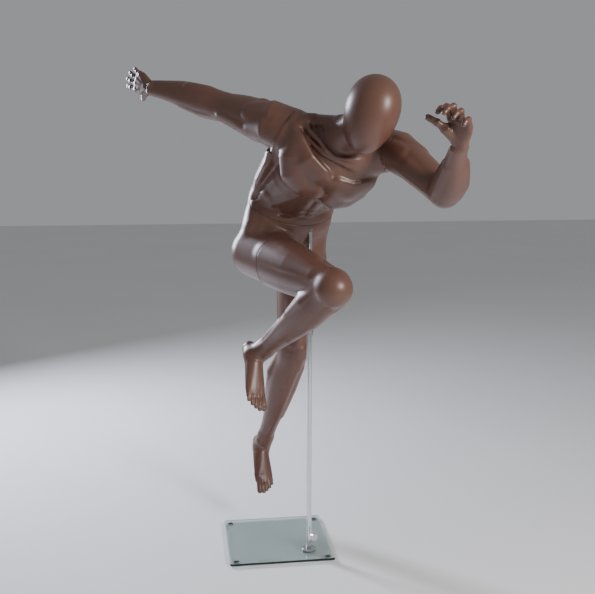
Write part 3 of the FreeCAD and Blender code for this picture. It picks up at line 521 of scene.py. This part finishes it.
# Right shin: 90 is its front, 0 the inside, 180 the outside and -90 the back.
CALF = Form([
    (towards(KNEE_R, ANKLE_R, 0.01), SHIN_FRONT, (60, 57)),
    (towards(KNEE_R, ANKLE_R, 0.13), SHIN_FRONT, (57, 52)),
    (towards(KNEE_R, ANKLE_R, 0.30), SHIN_FRONT, (58, 54)),
    (towards(KNEE_R, ANKLE_R, 0.54), SHIN_FRONT, (49, 45)),
    (towards(KNEE_R, ANKLE_R, 0.80), SHIN_FRONT, (34, 31)),
    (towards(KNEE_R, ANKLE_R, 1.07), SHIN_FRONT, (32, 30)),
])
CALF_MUSCLES = {
    "knee_cord": (0.8, 7, [(0.3, 92, 13, 4), (0.9, 94, 11, 5)]),
    "calf_in": (0.5, 10, [(0.9, -58, 26, 4), (1.8, -54, 32, 12), (2.8, -60, 20, 2)]),
    "calf_out": (0.5, 10, [(0.9, -122, 24, 4), (1.7, -124, 30, 10), (2.6, -118, 18, 1)]),
    "shin_edge": (0.9, 8, [(0.9, 82, 11, 3), (2.5, 78, 11, 4), (4.2, 76, 10, 2)]),
    "shin_muscle": (0.5, 9, [(1.0, 125, 20, 4), (2.2, 125, 20, 6), (3.4, 118, 14, 2)]),
    "heel_cord": (0.9, 8, [(3.3, -90, 13, 3), (4.3, -90, 10, 6), (5.0, -90, 10, 8)]),
    "ankle_in": (0.7, 6, [(4.62, 8, 13, 7)]),
    "ankle_out": (0.7, 6, [(4.72, -172, 13, 7)]),
}


def draw_foot(solid, heel, toe, ankle, shin, inner):
    """A foot with five toes; inner is 1 where the big toe lies on the across side, or -1."""
    along = unit(toe - heel)
    rise = unit(shin - along * along.dot(shin))
    across = np.cross(along, rise)
    length = np.linalg.norm(toe - heel)

    def spot(forward, sideways, high):
        return heel + along * forward * length + across * sideways * inner + rise * high

    foot = solid.like()
    sections = [
        (spot(-0.02, 0, 8), 24, 27), (spot(0.12, 1, 16), 29, 31), (spot(0.30, 3, 14), 32, 30),
        (spot(0.50, 2, 7), 35, 23), (spot(0.70, 1, 0), 38, 16), (spot(0.84, 0, -3), 37, 11),
    ]
    foot.tube([(centre, across, wide, deep) for centre, wide, deep in sections], 0)
    foot.tube([(ankle + shin * 22, across, 30, 29), (spot(0.12, 0, 18), across, 28, 29)], 12.0)
    foot.tube([(spot(0.42, 34, -14), rise, 10, 16), (spot(0.60, 36, -12), rise, 8, 12)], 12.0, cutting=True)
    for i, sideways in enumerate((24, 8.5, -5, -17.5, -29)):
        big = i == 0
        radius = 11.5 if big else 8.2 - 0.5 * i
        reach = (1.06, 1.08, 1.04, 0.99, 0.92)[i]
        root = spot(0.72, sideways * 0.92, 0)
        middle = spot(reach - 0.12, sideways, 0 if big else 1)
        tip = spot(reach, sideways - (0 if big else 1), -4)
        foot.tube([(root, across, radius, radius), (middle, across, radius * 0.92, radius * 0.84),
                   (tip, across, radius, radius * 0.86)], 4.0)
        nail = (tip + rise * radius * 0.95 - along * 2, rise, 1.6, radius * 0.62)
        foot.tube([nail, nail], 1.5, cutting=True)
    for i in range(4):
        start = (spot(0.40, 8 - 6 * i, 25 - 2 * i), rise, 5, 5)
        end = (spot(0.70, 22 - 13 * i, 8.5 - 1.5 * i), rise, 5, 5)
        foot.tube([start, end], 9.0)
    solid.join(foot, 16.0)


def draw_left_leg(solid):
    LEG_L.draw(solid)
    draw_muscles(LEG_L, LEG_MUSCLES, solid)


def draw_right_leg(solid):
    THIGH.draw(solid)
    draw_muscles(THIGH, THIGH_MUSCLES, solid)
    lower = solid.like()
    lower.tube([(KNEE_R, UP, 61, 61)] * 2, 0)
    CALF.draw(lower)
    draw_muscles(CALF, CALF_MUSCLES, lower)
    solid.join(lower, 8.0)


def draw_left_foot(solid):
    draw_foot(solid, HEEL_L, TOE_L, ANKLE_L, unit(KNEE_L - ANKLE_L), 1)


def draw_right_foot(solid):
    draw_foot(solid, HEEL_R, TOE_R, ANKLE_R, unit(KNEE_R - ANKLE_R), -1)


# ---------------------------------------------------------------- hands


FINGER_LONG = (80, 90, 84, 66)
FINGER_SETBACK = (2, 0, 4, 12)
FINGER_SHARES = (0.18, 0.40, 0.26, 0.16)


def spread_fingers(wrist, along, across, palm, palm_long, spacing, bends):
    """Points of four fingers, index first, each joint bent by so many degrees towards the palm's side."""
    fingers = []
    for i, long in enumerate(FINGER_LONG):
        root = wrist + along * (palm_long - 12 - FINGER_SETBACK[i]) + across * (spacing * (1.5 - i))
        points = [root]
        for share, bend in zip(FINGER_SHARES, np.radians(bends)):
            step = unit(along * np.cos(bend) + palm * np.sin(bend) + across * (0.10 * (1.5 - i)))
            points.append(points[-1] + step * (long * share))
        fingers.append(points)
    return fingers


def hand_points(wrist, along, across, palm, spots):
    """Points given by how far they lie along, across and out of the palm."""
    return [wrist + along * a + across * b + palm * c for a, b, c in spots]


def draw_hand(solid, wrist, arm, along, across, palm_long, fingers, thumb, back):
    """Palm, fingers, knuckles, cords and nails; arm runs down the forearm, back out of the hand's back."""
    rings = [(wrist + arm * 6, across, 25, 18)]
    for reach, wide, deep in ((24, 31, 18), (palm_long * 0.62, 40, 16), (palm_long - 4, 41, 13)):
        rings.append((wrist + along * reach, across, wide, deep))
    solid.tube(rings, 0)
    for i, points in enumerate(fingers):
        draw_finger(solid, points, 9.2 - 0.4 * i, 7.4 - 0.3 * i, across, back)
        cord = towards(points[0], wrist + along * 12, 0.85)
        solid.tube([(cord + back * 12, back, 4, 4), (points[0] + back * 9, back, 4.5, 4.5)], 5.0)
        knuckle = (points[0] + along * 8 + back * 5, back, 8.4, 9)
        solid.tube([knuckle, knuckle], 4.0)
    draw_finger(solid, thumb, 12.0, 9.0, across, back)
    solid.tube([(wrist + along * 16, across, 15, 15), (thumb[1], across, 14, 14)], 9.0)


def draw_finger(solid, points, root, tip, across, back):
    last = len(points) - 1
    rings = []
    for i, point in enumerate(points):
        radius = root + (tip - root) * i / last
        rings.append((point, across, radius, radius * 0.97))
        if 0 < i < last:
            solid.tube([(point, across, radius * 1.07, radius * 1.07)] * 2, 3.0)
    solid.tube(rings, 3.5)
    way = unit(points[-1] - points[-2])
    top = unit(back - way * back.dot(way))
    bed = points[-1] + top * tip * 0.98 + way * 1.5
    nail = [(bed - way * 3, top, 1.1, tip * 0.62), (bed + way * 2.5, top, 1.1, tip * 0.6)]
    solid.tube(nail, 1.0, cutting=True)


def draw_right_hand(solid):
    """Open, its back to the front, its fingers spread and its thumb down."""
    along = unit((-0.590, 0.730, 0.345))
    across = unit(along * along.dot(UP) - UP)
    palm = np.cross(across, along)
    fingers = spread_fingers(WRIST_R, along, across, palm, 80, 17, (1, 5, 12, 20))
    spots = [(16, 10, 2), (34, 28, 8), (46, 43, 14), (54, 56, 20)]
    thumb = hand_points(WRIST_R, along, across, palm, spots)
    draw_hand(solid, WRIST_R, FOREARM_R, along, across, 80, fingers, thumb, -palm)


def draw_left_hand(solid):
    """Bent back at the wrist and half closed, its palm to the front and the thumb inward."""
    along = unit((-0.176, -0.466, 0.866))
    reach = np.array((-0.597, 0.742, 0.294))
    across = unit(reach - along * along.dot(reach))
    palm = np.cross(along, across)
    fingers = spread_fingers(WRIST_L, along, across, palm, 80, 19, (4, 14, 84, 114))
    spots = [(24, 14, 8), (55, 27, 24), (75, 45, 38), (89, 65, 50)]
    thumb = hand_points(WRIST_L, along, across, palm, spots)
    draw_hand(solid, WRIST_L, FOREARM_L, along, across, 80, fingers, thumb, -palm)


# ---------------------------------------------------------------- seams


class Seam:
    """A flat joint between two shells, cut only within its radius; the child lies on the normal's side."""

    def __init__(self, centre, normal, radius, well):
        self.centre = centre
        self.normal = unit(normal)
        self.radius = radius
        self.well = well  # (radius, depth) of the socket or stud's hole in each face

    def heights(self, points):
        rest = [p - np.float32(c) for p, c in zip(points, self.centre)]
        height = sum(r * n for r, n in zip(rest, self.normal))
        across = np.sqrt(np.maximum(sum(r * r for r in rest) - height * height, 0))
        return height, across

    def trim(self, solid, side, spare=6.0, thick=60.0):
        """Takes away what lies on the other side of the seam, but for a little to be cut exactly later."""
        _, points = solid.whole()
        height, across = self.heights(points)
        beyond = -height * side
        waste = np.maximum(np.maximum(spare - beyond, across - self.radius), beyond - thick)
        solid.keep(-waste)
        self.hollow(solid, height, across)

    def stop(self, solid, spare=6.0):
        """Ends a limb just past the seam, on its parent's side of it."""
        _, points = solid.whole()
        solid.keep(self.heights(points)[0] - spare)

    def hollow(self, solid, height, across):
        """The hole behind the fitting's plate."""
        radius, depth = self.well
        solid.keep(-np.maximum(across - radius, np.abs(height) - depth))

    def ramp(self, solid, slope=1.6):
        """Makes a solid fade out beyond the seam on the child's side, and end where the seam's cut does."""
        _, points = solid.whole()
        height, across = self.heights(points)
        solid.value = solid.value + np.maximum(height, 0.0) * slope
        solid.keep(across - self.radius + 1.0)


WAIST_SEAM = Seam(WAIST, WAIST_NORMAL, 260, (12, 40))
SHOULDER_R_SEAM = Seam(SHOULDER_R, SHOULDER_R_NORMAL, 86, (9, 28))
SHOULDER_L_SEAM = Seam(SHOULDER_L, SHOULDER_L_NORMAL, 90, (9, 28))
GROIN_SEAM = Seam(GROIN_R, THIGH_R, 104, (12, 36))
WRIST_R_SEAM = Seam(WRIST_R, FOREARM_R, 45, (5, 13))
WRIST_L_SEAM = Seam(WRIST_L, FOREARM_L, 45, (5, 13))
LIP = [(0.0, 0.9), (1.1, 0.25), (2.6, 0.0)]  # (distance from the face, how far the skin turns in)
FACE_GAP = 0.45


def finish_seam(mesh, seam, side):
    """Cuts one face exactly flat, closes it and rounds its edge in."""
    centre = Vector(seam.centre * MM)
    normal = Vector(seam.normal * side)
    reach = seam.radius * MM
    face_at = centre + normal * FACE_GAP * MM

    def near():
        faces = []
        for face in mesh.faces:
            rest = face.calc_center_median() - centre
            height = rest.dot(normal)
            if abs(height) < 0.014 and (rest - normal * height).length < reach:
                faces.append(face)
        verts = {v for f in faces for v in f.verts}
        edges = {e for f in faces for e in f.edges}
        return faces + list(edges) + list(verts)

    for distance, _ in LIP[:0:-1]:
        bmesh.ops.bisect_plane(mesh, geom=near(), dist=1e-7, plane_co=face_at + normal * distance * MM,
                               plane_no=normal)
    bmesh.ops.bisect_plane(
        mesh, geom=near(), dist=1e-7, plane_co=face_at, plane_no=normal, clear_inner=True
    )
    rim = [e for e in mesh.edges if e.is_boundary
           and all(abs((v.co - face_at).dot(normal)) < 2e-6 for v in e.verts)]
    made = bmesh.ops.holes_fill(mesh, edges=rim, sides=0)["faces"]
    for face in made:
        face.smooth = False
    for edge in rim:
        edge.smooth = False
    for vert in mesh.verts:
        rest = vert.co - face_at
        height = rest.dot(normal) / MM
        flat = rest - normal * rest.dot(normal)
        if -0.01 < height < LIP[-1][0] and flat.length < reach and flat.length > 0.018:
            turn_in = np.interp(height, [l[0] for l in LIP], [l[1] for l in LIP])
            vert.co -= flat.normalized() * turn_in * MM


# ---------------------------------------------------------------- shells


SOFT_BODY = 3


def grid_for(nodes, step):
    """An empty solid round some CAD nodes."""
    boxes = [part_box(node) for node in nodes]
    low = np.min([b[0] for b in boxes], axis=0) / MM - ROOM
    high = np.max([b[1] for b in boxes], axis=0) / MM + ROOM
    return Solid(low, high, step)


def to_mesh(solid, name):
    """The solid's skin as a mesh in metres, facing out."""
    band = 3 * solid.step
    grid = openvdb.FloatGrid(band)
    grid.copyFromArray(np.clip(solid.value, -band, band))
    points, quads = grid.convertToQuads(0.0)
    points = (points * solid.step + solid.low) * MM
    a, b, c = points[quads[:, 0]], points[quads[:, 1]], points[quads[:, 2]]
    if np.einsum("ij,ij->i", a, np.cross(b, c)).sum() < 0:
        quads = quads[:, ::-1]
    data = bpy.data.meshes.new(name)
    data.from_pydata(points.tolist(), [], quads.tolist())
    return data


def drop_crumbs(mesh):
    """Keeps the largest connected piece."""
    left = set(mesh.verts)
    groups = []
    while left:
        stack = [left.pop()]
        group = set(stack)
        while stack:
            for edge in stack.pop().link_edges:
                for vert in edge.verts:
                    if vert in left:
                        left.discard(vert)
                        group.add(vert)
                        stack.append(vert)
        groups.append(group)
    groups.sort(key=len)
    for group in groups[:-1]:
        bmesh.ops.delete(mesh, geom=list(group), context="VERTS")


def make_shell(name, nodes, body, solid, seams):
    """Meshes a solid, finishes its seams and puts it on its body."""
    data = to_mesh(solid, name)
    mesh = bmesh.new()
    mesh.from_mesh(data)
    drop_crumbs(mesh)
    for face in mesh.faces:
        face.smooth = True
    for seam, side in seams:
        finish_seam(mesh, seam, side)
    mesh.to_mesh(data)
    mesh.free()
    shell = bpy.data.objects.new(name, data)
    bpy.context.scene.collection.objects.link(shell)
    data.materials.append(SKIN)
    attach(shell, body)
    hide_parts(*nodes)
    return shell


def torso_shell():
    nodes = ("upper_torso", "head")
    solid = grid_for(nodes, STEP_BODY)
    draw_trunk(solid)
    for draw_arm, seam in ((draw_right_arm, SHOULDER_R_SEAM), (draw_left_arm, SHOULDER_L_SEAM)):
        arm = solid.like()
        draw_arm(arm)
        seam.stop(arm)
        solid.join(arm, JOIN)
    solid.soften(SOFT_BODY)
    WAIST_SEAM.trim(solid, 1)
    SHOULDER_R_SEAM.trim(solid, -1)
    SHOULDER_L_SEAM.trim(solid, -1)
    seams = [(WAIST_SEAM, 1), (SHOULDER_R_SEAM, -1), (SHOULDER_L_SEAM, -1)]
    return make_shell("torso_shell", nodes, "torso", solid, seams)


def pelvis_shell():
    nodes = ("pelvis_left_leg",)
    solid = grid_for(nodes, STEP_BODY)
    draw_trunk(solid)
    left, right = solid.like(), solid.like()
    draw_left_leg(left)
    draw_right_leg(right)
    GROIN_SEAM.stop(right)
    for leg in (left, right):
        solid.join(leg, JOIN)
    solid.soften(SOFT_BODY)
    draw_left_foot(solid)
    WAIST_SEAM.trim(solid, -1)
    GROIN_SEAM.trim(solid, -1)
    seams = [(WAIST_SEAM, -1), (GROIN_SEAM, -1)]
    return make_shell("pelvis_shell", nodes, "pelvis", solid, seams)


def limb_shell(name, node, body, step, draw_limb, seams, root_seam, draw_end=None):
    """A limb that takes its root's shape from the trunk it joins."""
    solid = grid_for((node,), step)
    draw_limb(solid)
    root = solid.like()
    draw_trunk(root)
    root_seam.ramp(root)
    solid.join(root, JOIN)
    solid.soften(SOFT_BODY)
    if draw_end:
        draw_end(solid)
    for seam, side in seams:
        seam.trim(solid, side)
    return make_shell(name, (node,), body, solid, seams)


def hand_shell(name, node, body, draw, draw_arm, seam):
    """A hand that takes the forearm's outline at the wrist."""
    solid = grid_for((node,), STEP_HAND)
    draw(solid)
    solid.soften(1)
    root = solid.like()
    draw_arm(root)
    seam.ramp(root)
    solid.join(root, 10.0)
    seam.trim(solid, 1, spare=4.0)
    return make_shell(name, (node,), body, solid, [(seam, 1)])


# ---------------------------------------------------------------- finishes


class Finish:
    """A material built up from nodes."""

    def __init__(self, name):
        self.material = bpy.data.materials.new(name)
        self.material.use_nodes = True
        self.nodes = self.material.node_tree.nodes
        self.links = self.material.node_tree.links
        self.shader = self.nodes["Principled BSDF"]
        self.place = self.add("ShaderNodeTexCoord").outputs["Object"]

    def add(self, kind, **inputs):
        node = self.nodes.new(kind)
        for name, value in inputs.items():
            node.inputs[name.replace("_", " ")].default_value = value
        return node

    def set(self, **values):
        for name, value in values.items():
            self.shader.inputs[name.replace("_", " ")].default_value = value

    def noise(self, scale, detail=4.0, stretch=None):
        """A noise value over the object's own space, stretched if asked."""
        node = self.add("ShaderNodeTexNoise", Scale=scale, Detail=detail, Roughness=0.55)
        source = self.place
        if stretch:
            mapping = self.add("ShaderNodeMapping", Scale=stretch)
            self.links.new(self.place, mapping.inputs["Vector"])
            source = mapping.outputs["Vector"]
        self.links.new(source, node.inputs["Vector"])
        return node.outputs["Fac"]

    def ramp(self, source, stops):
        """A colour ramp over a value: (position, colour) stops."""
        node = self.add("ShaderNodeValToRGB")
        points = node.color_ramp.elements
        for point, (position, colour) in zip(points, (stops[0], stops[-1])):
            point.position, point.color = position, (*colour, 1)
        for position, colour in stops[1:-1]:
            points.new(position).color = (*colour, 1)
        self.links.new(source, node.inputs["Fac"])
        return node.outputs["Color"]

    def between(self, source, low, high):
        """The value, spread over another range."""
        node = self.add("ShaderNodeMapRange", From_Min=0.3, From_Max=0.7, To_Min=low, To_Max=high)
        self.links.new(source, node.inputs["Value"])
        return node.outputs["Result"]

    def feed(self, **sources):
        for name, source in sources.items():
            self.links.new(source, self.shader.inputs[name.replace("_", " ")])

    def bump(self, source, strength, distance):
        node = self.add("ShaderNodeBump", Strength=strength, Distance=distance)
        self.links.new(source, node.inputs["Height"])
        self.feed(Normal=node.outputs["Normal"])


def skin_finish():
    """Satin sprayed lacquer: a little cloudy, with a faint orange peel."""
    finish = Finish("body_skin")
    clouds = finish.ramp(finish.noise(3.0), [(0.30, (0.126, 0.058, 0.040)), (0.50, (0.140, 0.065, 0.045)),
                                             (0.72, (0.155, 0.073, 0.051))])
    finish.feed(Base_Color=clouds, Roughness=finish.between(finish.noise(26.0), 0.36, 0.43))
    finish.bump(finish.noise(420.0, 2.0), 0.10, 0.0004)
    finish.set(Specular_IOR_Level=0.55, Coat_Weight=0.12, Coat_Roughness=0.30)
    return finish.material


def chrome_finish():
    finish = Finish("bright_chrome")
    tint = finish.ramp(finish.noise(14.0), [(0.3, (0.70, 0.71, 0.73)), (0.7, (0.80, 0.81, 0.83))])
    finish.feed(Base_Color=tint, Roughness=finish.between(finish.noise(60.0, 6.0), 0.05, 0.10))
    finish.bump(finish.noise(300.0, 2.0, (1, 1, 0.1)), 0.05, 0.0002)
    finish.set(Metallic=1.0)
    return finish.material


def steel_finish():
    """Zinc-plated steel with fine turning marks."""
    finish = Finish("fitting_steel")
    tint = finish.ramp(finish.noise(40.0), [(0.3, (0.42, 0.42, 0.43)), (0.7, (0.56, 0.56, 0.57))])
    finish.feed(Base_Color=tint, Roughness=finish.between(finish.noise(90.0, 6.0, (1, 1, 6)), 0.26, 0.40))
    finish.bump(finish.noise(700.0, 2.0, (1, 1, 8)), 0.12, 0.0002)
    finish.set(Metallic=1.0)
    return finish.material


def rubber_finish():
    finish = Finish("clear_rubber")
    tint = finish.ramp(finish.noise(60.0), [(0.3, (0.50, 0.51, 0.50)), (0.7, (0.60, 0.61, 0.60))])
    finish.feed(Base_Color=tint, Roughness=finish.between(finish.noise(120.0), 0.45, 0.60))
    finish.bump(finish.noise(500.0, 2.0), 0.15, 0.0002)
    return finish.material


def glass_finish():
    """Clear plate whose ground edges look sea green."""
    finish = Finish("clear_glass")
    normal = finish.add("ShaderNodeNewGeometry").outputs["True Normal"]
    parts = finish.add("ShaderNodeSeparateXYZ")
    finish.links.new(normal, parts.inputs["Vector"])
    flat = finish.add("ShaderNodeMath")
    flat.operation = "ABSOLUTE"
    finish.links.new(parts.outputs["Z"], flat.inputs[0])
    tint = finish.ramp(flat.outputs["Value"], [(0.2, (0.16, 0.50, 0.46)), (0.9, (0.86, 0.95, 0.93))])
    finish.feed(Base_Color=tint, Roughness=finish.between(finish.noise(30.0), 0.0, 0.03))
    finish.set(Transmission_Weight=1.0, IOR=1.5)
    return finish.material


SKIN = skin_finish()
FINISHES = {
    "body_skin": SKIN,
    "bright_chrome": chrome_finish(),
    "fitting_steel": steel_finish(),
    "clear_rubber": rubber_finish(),
    "clear_glass": glass_finish(),
}

# ---------------------------------------------------------------- the object

torso_shell()
pelvis_shell()
limb_shell("right_leg_shell", "right_leg", "right_leg", STEP_LEG, draw_right_leg,
           [(GROIN_SEAM, 1)], GROIN_SEAM, draw_right_foot)
limb_shell("right_arm_shell", "right_arm", "right_arm", STEP_ARM, draw_right_arm,
           [(SHOULDER_R_SEAM, 1), (WRIST_R_SEAM, -1)], SHOULDER_R_SEAM)
limb_shell("left_arm_shell", "left_arm", "left_arm", STEP_ARM, draw_left_arm,
           [(SHOULDER_L_SEAM, 1), (WRIST_L_SEAM, -1)], SHOULDER_L_SEAM)
hand_shell("right_hand_shell", "right_hand", "right_hand", draw_right_hand, draw_right_arm, WRIST_R_SEAM)
hand_shell("left_hand_shell", "left_hand", "left_hand", draw_left_hand, draw_left_arm, WRIST_L_SEAM)

for entry in frame["record"]["subparts"]:
    node = frame["nodes"][entry["node"]]
    node.data.materials.clear()
    node.data.materials.append(FINISHES[entry["material_slot"]])

# ---------------------------------------------------------------- floor, light and camera

FLOOR_SPAN = 30.0


def floor_finish():
    finish = Finish("floor")
    tint = finish.ramp(finish.noise(0.8), [(0.3, (0.88, 0.88, 0.88)), (0.7, (0.91, 0.91, 0.91))])
    finish.feed(Base_Color=tint, Roughness=finish.between(finish.noise(2.0), 0.75, 0.85))
    return finish.material


def lay_floor():
    data = bpy.data.meshes.new("floor")
    half = FLOOR_SPAN / 2
    corners = [(-half, -half, 0), (half, -half, 0), (half, half, 0), (-half, half, 0)]
    data.from_pydata(corners, [], [(0, 1, 2, 3)])
    data.materials.append(floor_finish())
    floor = bpy.data.objects.new("floor", data)
    bpy.context.scene.collection.objects.link(floor)


def add_light(name, place, aim, power, across, colour):
    data = bpy.data.lights.new(name, "AREA")
    data.energy = power
    data.shape = "RECTANGLE"
    data.size, data.size_y = across
    data.color = colour
    light = bpy.data.objects.new(name, data)
    light.location = place
    light.rotation_euler = (Vector(aim) - Vector(place)).to_track_quat("-Z", "Y").to_euler()
    bpy.context.scene.collection.objects.link(light)


BACKDROP, SURROUND = 0.36, 0.30  # how bright the backdrop looks, and how much it lights
PAPER = (0.88, 0.89, 0.92, 1)


def set_world():
    """A pale backdrop that lights the figure more softly than it shows."""
    world = bpy.data.worlds.new("studio")
    world.use_nodes = True
    nodes, links = world.node_tree.nodes, world.node_tree.links
    surround = nodes["Background"]
    backdrop = nodes.new("ShaderNodeBackground")
    for shade, strength in ((surround, SURROUND), (backdrop, BACKDROP)):
        shade.inputs["Color"].default_value = PAPER
        shade.inputs["Strength"].default_value = strength
    chooser = nodes.new("ShaderNodeMixShader")
    links.new(nodes.new("ShaderNodeLightPath").outputs["Is Camera Ray"], chooser.inputs[0])
    links.new(surround.outputs[0], chooser.inputs[1])
    links.new(backdrop.outputs[0], chooser.inputs[2])
    links.new(chooser.outputs[0], nodes["World Output"].inputs["Surface"])
    bpy.context.scene.world = world


LENS, SENSOR = 53.2, 36.0
CAMERA_PLACE = (-0.464, -3.009, 1.459)
CAMERA_LOOK = (0.137, 0.977, -0.1635)


def add_camera():
    data = bpy.data.cameras.new("camera")
    data.lens, data.sensor_width = LENS, SENSOR
    camera = bpy.data.objects.new("camera", data)
    camera.location = CAMERA_PLACE
    camera.rotation_euler = Vector(CAMERA_LOOK).to_track_quat("-Z", "Y").to_euler()
    bpy.context.scene.collection.objects.link(camera)
    bpy.context.scene.camera = camera


WARM, COOL = (1.0, 0.96, 0.92), (0.80, 0.84, 1.0)

lay_floor()
add_light("key", (1.65, -2.5, 2.12), (0.05, -0.15, 1.25), 80.0, (0.7, 0.7), WARM)
add_light("rim_left", (-1.95, 2.3, 1.95), (-0.1, 0.0, 1.2), 150.0, (0.5, 1.5), COOL)
set_world()
add_camera()
